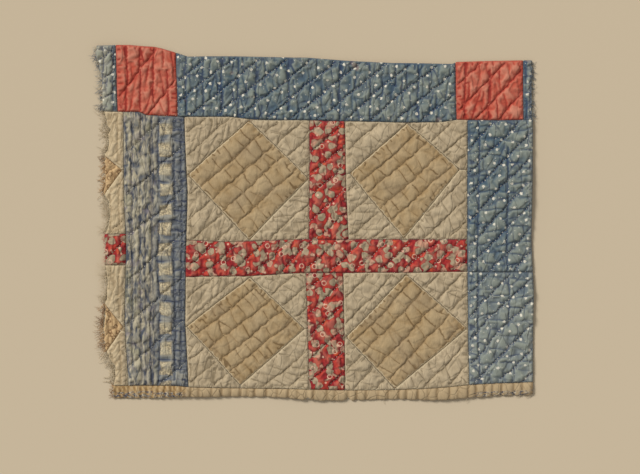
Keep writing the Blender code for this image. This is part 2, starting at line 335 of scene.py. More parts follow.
def gaps_to(tree, points):
    """Return each flat point's distance to a tree's nearest point."""
    return np.array([tree.find((x, y, 0))[2] for x, y in points])


def directions(degrees):
    """Return the unit vector at an angle, and the one square to its left."""
    angle = math.radians(degrees)
    along = np.array([math.cos(angle), math.sin(angle)])
    return along, np.array([-along[1], along[0]])


def quilting_lines(outline, plan):
    """Return a patch's stitched lines: parallel, a little wavy, clipped to the patch."""
    along, across = directions(plan["angle"])
    anchor = np.array(plan["through"])
    centre = outline.mean(axis=0)
    reach = np.linalg.norm(outline - centre, axis=1).max() + STEP
    spacing = plan.get("spacing", LINE_SPACING)
    start = (centre - anchor) @ along
    middle = round((centre - anchor) @ across / spacing)
    span = int(reach / spacing) + 1
    offsets = [index * spacing for index in range(middle - span, middle + span + 1)]
    if "rows" in plan:
        offsets = [-row for row in plan["rows"]]
    lines = []
    for index, place in enumerate(offsets):
        travel = np.arange(start - reach, start + reach, STEP)
        sway = [0.0024 * wander(t * 24, index) + 0.0019 * wander(t * 190, index + 40) for t in travel]
        offset = place + np.array(sway)
        points = anchor + np.outer(travel, along) + np.outer(offset, across)
        keep = inside(points, outline) & (edge_distance(points, outline) > LINE_MARGIN)
        for run in runs(points, keep, 4):
            if edge_distance(run, outline).mean() > 0.0042:
                lines.append(run)
    return lines


def bands_of(plan, across):
    """Return the two sides of each band between stitched lines, across which a patch reaches."""
    if "rows" in plan:
        rows = [0.0, *plan["rows"], -across.min()]
        return [(-far_row, -near_row) for near_row, far_row in zip(rows, rows[1:])]
    first = math.floor(across.min() / LINE_SPACING)
    last = math.ceil(across.max() / LINE_SPACING)
    return [(k * LINE_SPACING, (k + 1) * LINE_SPACING) for k in range(first, last)]


def crease_lines(outline, plan, stitched, seed):
    """Return creases that cross the bands between the stitched lines, like bricks in a wall."""
    along, across = directions(plan["angle"])
    anchor = np.array(plan["through"])
    rng = np.random.default_rng(seed)
    local = outline - anchor
    near, far = (local @ along).min(), (local @ along).max()
    first_x = outline[:, 0].min() + plan.get("creased_from", 0) * np.ptp(outline[:, 0])
    placed = tree_of(np.concatenate(stitched)) if stitched else None
    creases = []
    for floor_line, roof_line in bands_of(plan, local @ across):
        travel = near - rng.uniform(0, plan["gap"]) - LINE_SPACING
        while travel < far + LINE_SPACING:
            travel += plan["gap"] * rng.uniform(0.65, 1.4)
            if rng.random() < 0.07:
                continue
            slant, _ = directions(plan["crease"] + rng.normal(0, 9))
            rise = max(0.35, abs(slant @ across))
            length = (roof_line - floor_line) / rise * rng.choice([1.0, 1.0, 0.7])
            bend = rng.normal(0, 0.0009)
            share = np.linspace(0.0, 1.0, max(4, int(length / STEP)))
            foot = anchor + across * floor_line + along * travel
            points = foot + np.outer(share * length, slant * np.sign(slant @ across))
            points = points + np.outer(np.sin(share * math.pi) * bend, along)
            keep = inside(points, outline) & (edge_distance(points, outline) > CREASE_MARGIN)
            keep &= points[:, 0] >= first_x
            if stitched:
                keep &= gaps_to(placed, points) > LINE_MARGIN
            creases.extend(runs(points, keep, 3))
    return creases


def fold_lines(outline, plan, seed):
    """Return the long upright folds of a patch, at shares of its width."""
    low, high = outline.min(axis=0), outline.max(axis=0)
    folds = []
    for share in plan.get("folds", ()):
        rise = np.arange(low[1], high[1], STEP)
        middle = low[0] + share * (high[0] - low[0])
        sway = [0.0019 * wander(y * 21, seed + share) + 0.0007 * wander(y * 95, seed) for y in rise]
        points = np.column_stack([middle + np.array(sway), rise])
        keep = inside(points, outline) & (edge_distance(points, outline) > LINE_MARGIN)
        keep &= np.array([wander(y * 26, seed + 3 * share) > -0.42 for y in rise])
        folds.extend(runs(points, keep, 5))
    return folds


def pucker_lines(outline, seed):
    """Return the short puckers that the seams' stitches pull in at the patch's edges."""
    rng = np.random.default_rng(seed + 400)
    puckers = []
    for start, end in sides_of(outline):
        length = np.linalg.norm(end - start)
        run = (end - start) / length
        travel = rng.uniform(0.003, 0.008)
        while travel < length - 0.003:
            slant, _ = directions(math.degrees(math.atan2(run[1], run[0])) + 90 + rng.normal(0, 14))
            reach = rng.uniform(0.0035, 0.0072)
            points = start + run * travel + np.outer(np.linspace(0.0017, reach, 3), slant)
            if inside(points, outline).all() and edge_distance(points, outline).min() > 0.0012:
                puckers.append(points)
            travel += rng.uniform(*PUCKER_GAP)
    return puckers


# ---- the simulated top


def patch_mesh(outline, stitched=(), folds=(), creases=(), step=STEP):
    """Triangulate a patch round its lines. Returns points, triangles and each point's role."""
    ring = resampled(outline, step)
    points = list(ring)
    edges = []
    roles = ["seam"] * len(ring)
    taken = []
    for role, lines in (("stitch", stitched), ("fold", folds), ("crease", creases)):
        for line in lines:
            if role == "crease" and taken and min(
                    np.linalg.norm(np.array(taken) - point, axis=1).min() for point in line) < 0.0012:
                continue
            edges.extend((len(points) + k, len(points) + k + 1) for k in range(len(line) - 1))
            points.extend(line)
            roles.extend([role] * len(line))
            if role == "crease":
                taken.extend(line)
    low, high = outline.min(axis=0), outline.max(axis=0)
    rows = []
    for count, y in enumerate(np.arange(low[1], high[1], step * 0.866)):
        across = np.arange(low[0] + step / 2 * (count % 2), high[0], step)
        rows.append(np.column_stack([across, np.full(len(across), y)]))
    grid = np.concatenate(rows)
    grid = grid + RANDOM.uniform(-0.12, 0.12, grid.shape) * step
    grid = grid[inside(grid, outline)]
    free = grid[gaps_to(tree_of(points), grid) > 0.62 * step]
    points.extend(free)
    roles.extend(["free"] * len(free))
    made = geometry.delaunay_2d_cdt([Vector(point) for point in points], edges,
                                    [list(range(len(ring)))], 1, 1e-7)
    corners, triangles, origins = made[0], made[2], made[3]
    kept = [roles[source[0]] if source else "free" for source in origins]
    return np.array([tuple(corner) for corner in corners]), triangles, kept


def build_patches():
    """Return every patch of the pieced top as flat cloth with its quilting marked."""
    patches = {}
    names = sorted(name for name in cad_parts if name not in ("backing", "batting", *BINDINGS))
    for seed, name in enumerate(names):
        plan = plan_of(name)
        outline = grown(outline_of(name), SEAM_CLOSE)
        stitched = quilting_lines(outline, plan)
        folds = fold_lines(outline, plan, seed)
        creases = crease_lines(outline, plan, stitched, seed) + pucker_lines(outline, seed)
        points, triangles, roles = patch_mesh(outline, stitched, folds, creases)
        patches[name] = {"plan": plan, "stitched": stitched, "flat": points, "triangles": triangles,
                         "roles": roles}
    return patches


def rest_height(role, x, y):
    """Return the height that a point of the flat cloth starts at, by its role."""
    if role == "crease":
        return CREASE_LIFT * (1 + 0.5 * wander(x * 90 + y * 60, 3))
    if role == "free":
        return FREE_LIFT * (1 + 0.6 * noise.noise(Vector((x * 110, y * 110, 0))))
    return FOLD_LIFT if role == "fold" else 0.0


def simulate(patches):
    """Pucker all patches at once: cloth that is too full for its stitched lines and creases."""
    flat = np.concatenate([patch["flat"] for patch in patches.values()])
    roles = [role for patch in patches.values() for role in patch["roles"]]
    ends = np.cumsum([len(patch["flat"]) for patch in patches.values()]).tolist()
    spans = [(patch, first, end) for patch, first, end in zip(patches.values(), [0, *ends], ends)]
    triangles = [tuple(corner + first for corner in triangle)
                 for patch, first, _ in spans for triangle in patch["triangles"]]
    start = np.array([rest_height(role, x, y) for (x, y), role in zip(flat, roles)])
    cloth = new_object("cloth", np.column_stack([flat, start]) * SIM_SCALE, triangles)
    pins = cloth.vertex_groups.new(name="pins")
    for role, weight in PINNED.items():
        pins.add([k for k, kind in enumerate(roles) if kind == role], weight, "REPLACE")
    ease = cloth.vertex_groups.new(name="ease")
    for patch, first, end in spans:
        ease.add(range(first, end), 1 - FULLNESS[patch["plan"]["fabric"]] / FULLEST, "REPLACE")
    modifier = cloth.modifiers.new("cloth", "CLOTH")
    modifier.collision_settings.use_collision = False
    modifier.settings.effector_weights.gravity = 0
    for key, value in CLOTH_SETTINGS.items():
        setattr(modifier.settings, key, value)
    for number in range(1, SIM_FRAMES + 1):
        bpy.context.scene.frame_set(number)
    evaluated = cloth.evaluated_get(bpy.context.evaluated_depsgraph_get())
    result = np.empty(len(flat) * 3)
    evaluated.data.vertices.foreach_get("co", result)
    result = result.reshape(-1, 3) / SIM_SCALE
    bpy.context.scene.frame_set(1)
    bpy.data.objects.remove(cloth)
    for patch, first, end in spans:
        patch["puckered"] = result[first:end]


# ---- how the whole section lies


def settle(points):
    """Return points moved as the section lies: slightly skewed, its edges lifting here and there."""
    points = np.array(points, float)
    border = edge_distance(points[:, :2], BACKING_OUTLINE)
    border[~inside(points[:, :2], BACKING_OUTLINE)] = 0
    near_edge = np.exp(-(border / EDGE_REACH) ** 2)
    for index, (x, y, _) in enumerate(list(points)):
        swell = noise.noise(Vector((x * 11, y * 11, 4.2)))
        points[index, 0] += SKEW * noise.noise(Vector((x * 16, y * 16, 0.7)))
        points[index, 1] += SKEW * noise.noise(Vector((x * 16, y * 16, 8.3)))
        points[index, 2] += UNDULATION * (0.5 + swell) + EDGE_LIFT * near_edge[index] * max(0, swell + 0.15)
    return points


def new_object(name, points, faces):
    """Return a new mesh object in the scene."""
    mesh = bpy.data.meshes.new(name)
    mesh.from_pydata(points, [], faces)
    mesh.update()
    mesh.shade_smooth()
    made = bpy.data.objects.new(name, mesh)
    bpy.context.scene.collection.objects.link(made)
    return made


def store(made, name, values, kind="FLOAT"):
    """Store a value for each point of a mesh: a number, or with FLOAT_VECTOR a vector."""
    layer = made.data.attributes.new(name, kind, "POINT")
    key = "vector" if kind == "FLOAT_VECTOR" else "value"
    layer.data.foreach_set(key, np.asarray(values, dtype=np.float32).ravel())


def mark(made, flat, marks, puff):
    """Store what a cloth's shader reads: its place in the flat cloth, its lines and its puffs.

    The marks are how far each point is part of a stitched line, of a crease and of a seam. The
    shader paints shade along them, and paints shade and highlight by the puff.
    """
    store(made, "cloth", flat, "FLOAT_VECTOR")
    store(made, "marks", marks, "FLOAT_VECTOR")
    store(made, "puff", puff)


def as_cloth(made, offset=-1.0):
    """Refine a sheet and give it the thickness of cloth."""
    fine = made.modifiers.new("fine", "SUBSURF")
    fine.levels = 1
    fine.render_levels = 1
    solid = made.modifiers.new("thickness", "SOLIDIFY")
    solid.thickness = CLOTH
    solid.offset = offset


def evaluated_tree(objects):
    """Return a tree of the objects' evaluated surfaces for casting rays."""
    corners, faces = [], []
    graph = bpy.context.evaluated_depsgraph_get()
    for made in objects:
        mesh = made.evaluated_get(graph).to_mesh()
        mesh.calc_loop_triangles()
        first = len(corners)
        corners.extend(tuple(vertex.co) for vertex in mesh.vertices)
        faces.extend([first + corner for corner in face.vertices] for face in mesh.loop_triangles)
    return BVHTree.FromPolygons(corners, faces)


def surface_height(tree, x, y, otherwise):
    """Return the height of a surface above a point of the floor, or otherwise where it has none."""
    hit = tree.ray_cast(Vector((x, y, 0.1)), Vector((0, 0, -1)))[0]
    return hit.z if hit else otherwise


# ---- the pieces


def make_patch(name, patch):
    """Make one patch of the pieced top from its puckered cloth."""
    points = patch["puckered"].copy()
    points[:, 2] = points[:, 2] * LOFT.get(patch["plan"]["fabric"], 1.0) + SEAM_HEIGHT
    roles = np.array(patch["roles"])
    side = cut_side(name)
    if side:
        torn = gaps_to(tree_of(raw_edge(name, side)), patch["flat"]) < RAW_REACH
        for index in np.flatnonzero(torn & (roles == "seam")):
            y = patch["flat"][index, 1]
            roles[index] = "raw"
            tatter = 0.6 + wander(y * 310, 12) + 0.8 * wander(y * 90, 5)
            points[index, 0] -= side * (TATTER_RIGHT if side > 0 else TATTER_LEFT) * tatter
    made = new_object(name + "_cloth", settle(points), patch["triangles"])
    # The marks only steer the shader's painted shade: along the stitched lines, weaker where a plan gives a
    # line share, along the creases and folds, and at the seams. Each crease's painted shade varies in
    # strength along it.
    crease_shade_strength = np.array([0.75 + 0.5 * noise.noise(Vector((x * 55, y * 55, 9.1))) for x, y in patch["flat"]])
    stitched = roles == "stitch"
    creased = (roles == "crease") * crease_shade_strength + (roles == "fold")
    marks = np.column_stack([stitched * patch["plan"].get("line", 1.0), creased, roles == "seam"])
    flat = np.column_stack([patch["flat"], np.zeros(len(points))])
    mark(made, flat, marks, np.clip(patch["puckered"][:, 2] / FULL_PUFF, 0, 1))
    sharp = made.data.attributes.new("crease_edge", "FLOAT", "EDGE")
    sharp.data.foreach_set("value", [0.6 if stitched[edge.vertices[0]] and stitched[edge.vertices[1]]
                                     else 0.0 for edge in made.data.edges])
    as_cloth(made)
    return made


def tube(route, radius):
    """Return the points and faces of a thin closed tube along a route, pointed at both ends."""
    points, faces = [], []
    route = np.array(route)
    for index, place in enumerate(route):
        ahead = route[min(index + 1, len(route) - 1)] - route[max(index - 1, 0)]
        ahead = ahead / (np.linalg.norm(ahead) + 1e-12)
        side = np.cross(ahead, (0, 0, 1))
        side = side / (np.linalg.norm(side) + 1e-12)
        rise = np.cross(side, ahead)
        width = radius * (0.35 if index in (0, len(route) - 1) else 1.0)
        for turn in np.linspace(0, 2 * math.pi, TUBE_SIDES, endpoint=False):
            points.append(place + width * (math.cos(turn) * side + math.sin(turn) * rise))
    for index in range(len(route) - 1):
        for corner in range(TUBE_SIDES):
            here = index * TUBE_SIDES + corner
            beside = index * TUBE_SIDES + (corner + 1) % TUBE_SIDES
            faces.append((here, beside, beside + TUBE_SIDES, here + TUBE_SIDES))
    faces.append(tuple(range(TUBE_SIDES)))
    faces.append(tuple(reversed(range(len(points) - TUBE_SIDES, len(points)))))
    return points, faces


def merged_tubes(name, routes, radius):
    """Make one object of many thin tubes."""
    points, faces = [], []
    for route in routes:
        more_points, more_faces = tube(route, radius * RANDOM.uniform(0.85, 1.15))
        faces.extend(tuple(index + len(points) for index in face) for face in more_faces)
        points.extend(more_points)
    return new_object(name, points, faces)


def stitch_routes(patches, fabrics, tree):
    """Return the arched routes of the running stitches along some fabrics' quilting lines."""
    arch = STITCH_RADIUS * np.array([-1.2, 0.5, 0.9, 0.5, -1.2])
    flat = []
    for patch in patches.values():
        for line in patch["stitched"] if patch["plan"]["fabric"] in fabrics else ():
            travel = np.concatenate([[0], np.cumsum(np.linalg.norm(np.diff(line, axis=0), axis=1))])
            place = 0.0012
            while place + STITCH < travel[-1]:
                share = np.linspace(place, place + STITCH * RANDOM.uniform(0.8, 1.15), len(arch))
                x = np.interp(share, travel, line[:, 0])
                y = np.interp(share, travel, line[:, 1])
                flat.append(np.column_stack([x, y, np.full(len(arch), SEAM_HEIGHT)]))
                place += STITCH_PITCH * RANDOM.uniform(0.85, 1.15)
    settled = settle(np.concatenate(flat))
    settled[:, 2] = [surface_height(tree, *place) for place in settled]
    routes = settled.reshape(-1, len(arch), 3)
    routes[:, :, 2] += arch
    return routes


# ---- raw edges


def raw_edge(name, side, reach=RAW_REACH):
    """Return a patch's raw edge on its left (side -1) or right (side 1) as spaced points.

    It is raw where it lies within reach of the backing's outline.
    """
    outline = outline_of(name)
    points = []
    for start, end in sides_of(outline):
        run = end - start
        steep = abs(run[1]) > abs(run[0]) and run[1] * side > 0
        outer = edge_distance(np.array([start, end]), BACKING_OUTLINE).max() < reach
        if steep and outer:
            count = max(2, int(np.linalg.norm(run) / FRAY_GAP))
            points.extend(start + run * k / count for k in range(count))
    return points


def yarn(root, heading, length):
    """Return a loose yarn's route: out of the raw edge, curling down to the floor."""
    place = np.array([root[0], root[1], SEAM_HEIGHT - 0.0003])
    place[:2] -= 0.0012 * np.array([math.cos(heading), math.sin(heading)])
    curl = RANDOM.normal(0, 0.12)
    route = []
    for index in range(YARN_PIECES):
        route.append(place.copy())
        heading += curl + RANDOM.normal(0, 0.2)
        place[:2] += length / YARN_PIECES * np.array([math.cos(heading), math.sin(heading)])
        fall = (index + 1) / YARN_PIECES
        place[2] = max(0.00045, (SEAM_HEIGHT - 0.0003) * (1 - fall ** 0.7) + RANDOM.uniform(0, 0.0007))
    return settle(route)


def fray(name, patches, longest, droop, density):
    """Make the loose yarns along the raw edges of some patches, as one piece."""
    routes = []
    for patch in patches:
        side = cut_side(patch)
        for point in raw_edge(patch, side, 0.02 if patch.startswith("binding") else RAW_REACH):
            for _ in range(RANDOM.poisson(density)):
                heading = (math.pi if side < 0 else 0) + RANDOM.normal(droop * -side, 0.45)
                root = point + RANDOM.uniform(-0.0008, 0.0008, 2)
                routes.append(yarn(root, heading, longest * RANDOM.uniform(0.25, 1.0) ** 1.4))
    return merged_tubes(name, routes, YARN_RADIUS)


def loose_threads(name):
    """Make the few loose threads that hang out from under the binding's lower edge."""
    outline = outline_of("binding_right")
    routes = []
    for share in THREAD_PLACES:
        x = outline[:, 0].min() + share * np.ptp(outline[:, 0])
        low = span_at(outline, x)[0]
        heading = math.radians(RANDOM.uniform(-130, -35))
        routes.append(yarn((x, low + 0.001), heading, RANDOM.uniform(0.005, 0.013)))
    return merged_tubes(name, routes, YARN_RADIUS)


# ---- binding, batting and backing


def span_at(outline, x):
    """Return the lowest and highest y of an outline at x."""
    crossings = []
    for (x1, y1), (x2, y2) in sides_of(outline):
        if x1 != x2 and min(x1, x2) <= x <= max(x1, x2):
            crossings.append(y1 + (y2 - y1) * (x - x1) / (x2 - x1))
    return min(crossings), max(crossings)


def make_binding(name, seed):
    """Make one length of the gathered binding, folded round the lower edge."""
    outline = outline_of(name)
    rng = np.random.default_rng(seed)
    left, right = outline[:, 0].min() + 1e-5, outline[:, 0].max() - 1e-5
    pleats = [left - 0.004]
    while pleats[-1] < right:
        worn = pleats[-1] < WORN_END
        pleats.append(pleats[-1] + rng.uniform(*(PLEAT_GAP_WORN if worn else PLEAT_GAP)))
    pleats = np.array(pleats)
    depths = rng.uniform(0.5, 1.0, len(pleats))
    rows = round((right - left) / 0.0013)
    points, pinches, flat = [], [], []
    for x in np.linspace(left, right, rows):
        low, high = span_at(outline, x)
        gaps = np.abs(pleats - x)
        nearest = gaps.argmin()
        pinch = depths[nearest] * math.exp(-(gaps[nearest] / 0.0019) ** 2)
        notch = max(math.exp(-((x - place) / 0.0030) ** 2) for place in NOTCHES)
        low += 0.0013 * pinch + 0.0036 * notch + 0.0007 * wander(x * 160, seed)
        puff = (0.0026 + 0.0008 * wander(x * 90, seed + 5)) * (1 - 0.62 * pinch) * (1 - 0.5 * notch)
        for share, height in BINDING_PROFILE:
            lean = 0.0012 * wander(x * 70, seed + 2) * math.sin(math.pi * min(1, share))
            y = high + (low - high) * min(share, 2 - share)
            z = height * puff + BINDING_BASE * (1 if share <= 1 else 2 - share) ** 2
            points.append((x + lean, y, max(0.0007, z)))
            pinches.append(pinch * (1.0 if share <= 1 else 0))
            flat.append((x, (high - low) * share, 0))
    across = len(BINDING_PROFILE)
    faces = [(row * across + k, row * across + k + 1, (row + 1) * across + k + 1, (row + 1) * across + k)
             for row in range(rows - 1) for k in range(across - 1)]
    made = new_object(name + "_cloth", settle(points), faces)
    # The pleats' pinches are marked as creases and lower the puff, for painted shade in the pleats.
    mark(made, flat, [(0, pinch, 0) for pinch in pinches], 0.8 - 0.8 * np.array(pinches))
    as_cloth(made)
    return made


def make_batting(tree):
    """Make the layer of fibre between the top and the backing, filling the puffs from below."""
    outline = outline_of("batting")
    points, triangles, roles = patch_mesh(outline, step=BATTING_STEP)
    count = len(points)
    around = [(BATTING_STEP * dx, BATTING_STEP * dy) for dx in (-0.6, 0, 0.6) for dy in (-0.6, 0, 0.6)]
    rim = np.array([role == "seam" for role in roles])
    inward = -points / np.linalg.norm(points, axis=1)[:, None]
    tatters = np.array([0.0016 * (wander(x * 300 + y * 410, 3) - 1.2) for x, y in points])
    spread = points - (tatters * rim)[:, None] * inward
    bottom = settle(np.column_stack([spread, np.full(count, BACKING_BASE + 2.2 * CLOTH)]))
    top = bottom.copy()
    for index, (x, y, z) in enumerate(bottom):
        roof = min(surface_height(tree, x + dx, y + dy, 0.0026) for dx, dy in around)
        top[index, 2] = z + 0.0004 if rim[index] else max(z + 0.00025, roof - 1.6 * CLOTH)
    directed = {(a, b) for face in triangles for a, b in zip(face, face[1:] + face[:1])}
    faces = [tuple(face) for face in triangles]
    faces += [tuple(corner + count for corner in reversed(face)) for face in triangles]
    faces += [(b, a, a + count, b + count) for a, b in directed if (b, a) not in directed]
    return new_object("batting_fibre", np.concatenate([top, bottom]), faces)


def make_backing():
    """Make the plain backing cloth that lies on the floor."""
    points, triangles, _ = patch_mesh(BACKING_OUTLINE, step=BATTING_STEP)
    heights = [BACKING_BASE + 0.00018 * (1 + wander(x * 60 + y * 90, 8)) for x, y in points]
    made = new_object("backing_cloth", settle(np.column_stack([points, heights])), triangles)
    flat = np.column_stack([points, np.zeros(len(points))])
    mark(made, flat, flat * 0, np.full(len(points), 0.4))
    as_cloth(made, offset=1.0)
    return made


# ---- cloth shaders


def rgb(red, green, blue):
    """Return a linear colour from 0-255 display values."""
    shares = (value / 255 for value in (red, green, blue))
    linear = [((v + 0.055) / 1.055) ** 2.4 if v > 0.04045 else v / 12.92 for v in shares]
    return (*linear, 1.0)


class Shader:
    """A material's node tree, with short names for the nodes that the cloths share."""

    def __init__(self, name, roughness=0.88, sheen=0.12, specular=0.2):
        self.material = bpy.data.materials.new(name)
        self.material.use_nodes = True
        self.tree = self.material.node_tree
        self.surface = self.tree.nodes["Principled BSDF"]
        for key, value in (("Roughness", roughness), ("Specular IOR Level", specular),
                           ("Sheen Weight", sheen), ("Sheen Roughness", 0.6)):
            self.surface.inputs[key].default_value = value
        self.cloth = self.attribute("cloth").outputs["Vector"]
        self.stitch, self.crease, self.seam = self.parts(self.attribute("marks").outputs["Vector"])
        self.puff = self.attribute("puff").outputs["Fac"]

    def add(self, kind, inputs, **settings):
        """Add a node; each input is a number, a colour or another node's output."""
        node = self.tree.nodes.new(kind)
        for key, value in settings.items():
            setattr(node, key, value)
        for key, value in inputs.items():
            if isinstance(value, bpy.types.NodeSocket):
                self.tree.links.new(value, node.inputs[key])
            else:
                node.inputs[key].default_value = value
        return node

    def attribute(self, name):
        return self.add("ShaderNodeAttribute", {}, attribute_name=name)

    def math(self, operation, a, b=0.0):
        return self.add("ShaderNodeMath", {0: a, 1: b}, operation=operation).outputs[0]

    def times(self, a, b):
        return self.math("MULTIPLY", a, b)

    def most(self, a, b):
        return self.math("MAXIMUM", a, b)

    def away(self, value, place):
        """Return how far a value is from a place."""
        return self.math("ABSOLUTE", self.math("SUBTRACT", value, place))

    def parts(self, vector):
        """Return a vector's x, y and z."""
        return self.add("ShaderNodeSeparateXYZ", {0: vector}).outputs

    def scaled(self, vector, by):
        """Return a vector or a colour times a number."""
        return self.add("ShaderNodeVectorMath", {0: vector, "Scale": by}, operation="SCALE").outputs[0]

    def between(self, value, low, high, start=0.0, end=1.0):
        """Return start below low, end above high, and a smooth change between."""
        inputs = {"Value": value, "From Min": low, "From Max": high, "To Min": start, "To Max": end}
        return self.add("ShaderNodeMapRange", inputs, interpolation_type="SMOOTHSTEP").outputs[0]

    def below(self, value, low, high, full=1.0):
        """Return full below low, 0 above high, and a smooth change between."""
        return self.between(value, low, high, full, 0.0)

    def within(self, value, low, inner, outer, high, full=1.0):
        """Return full from inner to outer, fading to 0 at low and at high."""
        return self.times(self.between(value, low, inner), self.below(value, outer, high, full))

    def mix(self, share, a, b):
        """Return colour a changed towards b. They are outputs, or display values from 0 to 255."""
        first, second = (rgb(*colour) if isinstance(colour, tuple) else colour for colour in (a, b))
        return self.add("ShaderNodeMix", {0: share, 6: first, 7: second}, data_type="RGBA").outputs[2]

    def stretched(self, scale, turn=0.0, vector=None):
        """Return the cloth's coordinates, or others, turned in degrees and scaled."""
        inputs = {"Vector": vector or self.cloth, "Rotation": (0, 0, math.radians(turn)),
                  "Scale": scale}
        return self.add("ShaderNodeMapping", inputs).outputs[0]

    def turned(self, degrees):
        """Return the cloth's coordinates, turned."""
        return self.stretched((1, 1, 1), degrees)

    def warped(self, amount, size):
        """Return the cloth's coordinates pushed about by noise."""
        inputs = {"Vector": self.cloth, "Scale": 1 / size, "Detail": 2.0}
        push = self.add("ShaderNodeTexNoise", inputs).outputs["Color"]
        centred = self.add("ShaderNodeVectorMath", {0: push, 1: (-0.5, -0.5, -0.5)}).outputs[0]
        moved = {0: self.cloth, 1: self.scaled(centred, amount)}
        return self.add("ShaderNodeVectorMath", moved).outputs[0]

    def noise(self, size, detail=2.0, vector=None, distortion=0.0):
        """Return noise with lumps of a size in metres."""
        inputs = {"Vector": vector or self.cloth, "Scale": 1 / size, "Detail": detail,
                  "Distortion": distortion}
        return self.add("ShaderNodeTexNoise", inputs).outputs["Fac"]

    def patches(self, size, low, high, full=1.0, turn=0.0, detail=3.0):
        """Return soft patches: full where noise is above high, 0 where it is below low."""
        return self.between(self.noise(size, detail, self.turned(turn)), low, high, 0.0, full)

    def cells(self, size, randomness, vector):
        """Return the distance to the nearest of scattered points, in shares of their spacing."""
        inputs = {"Vector": vector, "Scale": 1 / size, "Randomness": randomness}
        return self.add("ShaderNodeTexVoronoi", inputs, voronoi_dimensions="2D").outputs["Distance"]

    def net(self, width, height, lean=0.0):
        """Return a net of small wrinkles: 1 on its lines, 0 inside its cells."""
        squashed = self.stretched((1 / width, 1 / height, 0), lean, self.warped(0.006, 0.02))
        node = self.add("ShaderNodeTexVoronoi", {"Vector": squashed, "Scale": 1.0},
                        feature="DISTANCE_TO_EDGE", voronoi_dimensions="2D")
        return self.below(node.outputs["Distance"], 0.0, 0.11)

    def wave(self, vector, scale, distortion, direction="X"):
        """Return stripes that follow each other in a direction."""
        inputs = {"Vector": vector, "Scale": scale, "Distortion": distortion}
        return self.add("ShaderNodeTexWave", inputs, bands_direction=direction).outputs["Fac"]

    def paint(self, colour):
        """Give the surface a colour."""
        self.tree.links.new(colour, self.surface.inputs["Base Color"])

    def emboss(self, *layers):
        """Bump the surface with layers, each a height, a strength and a depth in metres."""
        below = {}
        for height, strength, depth in layers:
            bump = self.add("ShaderNodeBump", {"Height": height, "Strength": strength,
                                               "Distance": depth, **below})
            below = {"Normal": bump.outputs[0]}
        self.tree.links.new(below["Normal"], self.surface.inputs["Normal"])

    def finish(self, colour, shade_colour, pale, net, depth=1.0, highlight_share=0.55, faint=0.6, rim=0.0,
               fine=0.42, creased=(0.3, 0.95, 0.74)):
        """Paint shade into a cloth's hollows and a highlight on its puffs, and give it its weave.
        Returns the material.

        net is the size and lean of its small wrinkles and faint shows them, as painted shade and as
        bumps. depth is how dark the painted shade in its hollows goes, crown is how far a painted
        highlight lightens its puffs, standing also for their fading, and rim is a pale painted
        highlight beside its seams, where the ridge of the seam allowance would catch the light. The
        painted shade of its stitched lines is thin where fine is high, and creased says between which
        marks the painted shade of its creases darkens, and how far.
        """
        wrinkles = self.net(*net)
        # Painted shade: stitched lines, creases, seams, small wrinkles and the low places between the puffs
        # darken towards the dark shade colour, as the quilt's valleys would be in shade.
        lines = self.between(self.stitch, fine, 0.95, 0.0, 0.92)
        creases = self.between(self.crease, creased[0], creased[1], 0.0, creased[2])
        seams = self.between(self.seam, 0.5, 1.0, 0.0, 0.55)
        small = self.times(wrinkles, self.patches(0.016, 0.35, 0.7, faint))
        low_puff_shade = self.below(self.puff, 0.0, 0.55, 0.38)
        painted_shade = self.most(self.most(lines, creases), self.most(self.most(seams, small), low_puff_shade))
        # Painted highlight: the puffs' tops lighten towards the pale colour, which also stands for the
        # fading of their worn high points.
        colour = self.mix(self.between(self.puff, 0.35, 0.95, 0.0, highlight_share), colour, pale)
        # Painted shade in the hollows, towards the dark shade colour.
        colour = self.mix(self.times(painted_shade, depth), colour, shade_colour)
        # Painted highlight: a pale line beside the seams, where the ridge of the seam allowance would catch
        # the light.
        seam_highlight = self.within(self.seam, 0.25, 0.5, 0.62, 0.85, rim)
        colour = self.mix(seam_highlight, colour, (208, 194, 162))
        weave = self.times(*(self.wave(self.cloth, 1 / (THREAD_PITCH * 6.283), 0.4, direction)
                             for direction in "XY"))
        threads = self.noise(0.0011, 1.0, self.stretched((1, 0.25, 1)))
        tone = self.math("ADD", self.between(weave, 0.0, 1.0, 0.93, 1.05),
                         self.between(threads, 0.3, 0.7, -0.06, 0.06))
        self.paint(self.scaled(colour, tone))
        self.emboss((weave, 0.35, 0.0002), (self.noise(0.0035, 3.0), 0.5, 0.0006),
                    (self.math("SUBTRACT", 1.0, wrinkles), 0.15 + 0.5 * faint, 0.0012))
        return self.material


def indigo_dotted():
    """Faded indigo cotton with a print of small cream dots."""
    shader = Shader("indigo_dotted")
    x, y, _ = shader.parts(shader.cloth)
    colour = shader.mix(shader.patches(0.03, 0.3, 0.72), (74, 94, 106), (114, 123, 119))
    stain = shader.patches(0.021, 0.71, 0.78, 0.35, 77, 1.0)
    colour = shader.mix(stain, colour, (176, 134, 104))
    lower_right = shader.times(shader.below(y, -0.16, 0.02, 0.6), shader.between(x, 0.18, 0.19))
    colour = shader.mix(lower_right, colour, (142, 147, 140))
    colour = shader.mix(shader.below(x, -0.262, -0.238, 0.82), colour, (176, 170, 148))
    colour = shader.mix(shader.between(x, 0.2615, 0.2635, 0.0, 0.45), colour, (160, 162, 150))
    ragged = shader.between(shader.noise(0.0016, 1.0), 0.3, 0.7, -0.03, 0.03)
    dots = shader.math("ADD", shader.cells(0.0150, 0.55, shader.turned(18)), ragged)
    specks = shader.cells(0.0088, 1.0, shader.turned(50))
    printed = shader.most(shader.below(dots, 0.085, 0.125), shader.below(specks, 0.05, 0.075, 0.6))
    body = shader.finish(colour, (30, 46, 82), (143, 148, 134), (0.013, 0.024, 6), 0.95, 0.6, 0.8)
    shaded = shader.surface.inputs["Base Color"].links[0].from_socket
    shader.paint(shader.mix(printed, shaded, (205, 200, 184)))
    return body


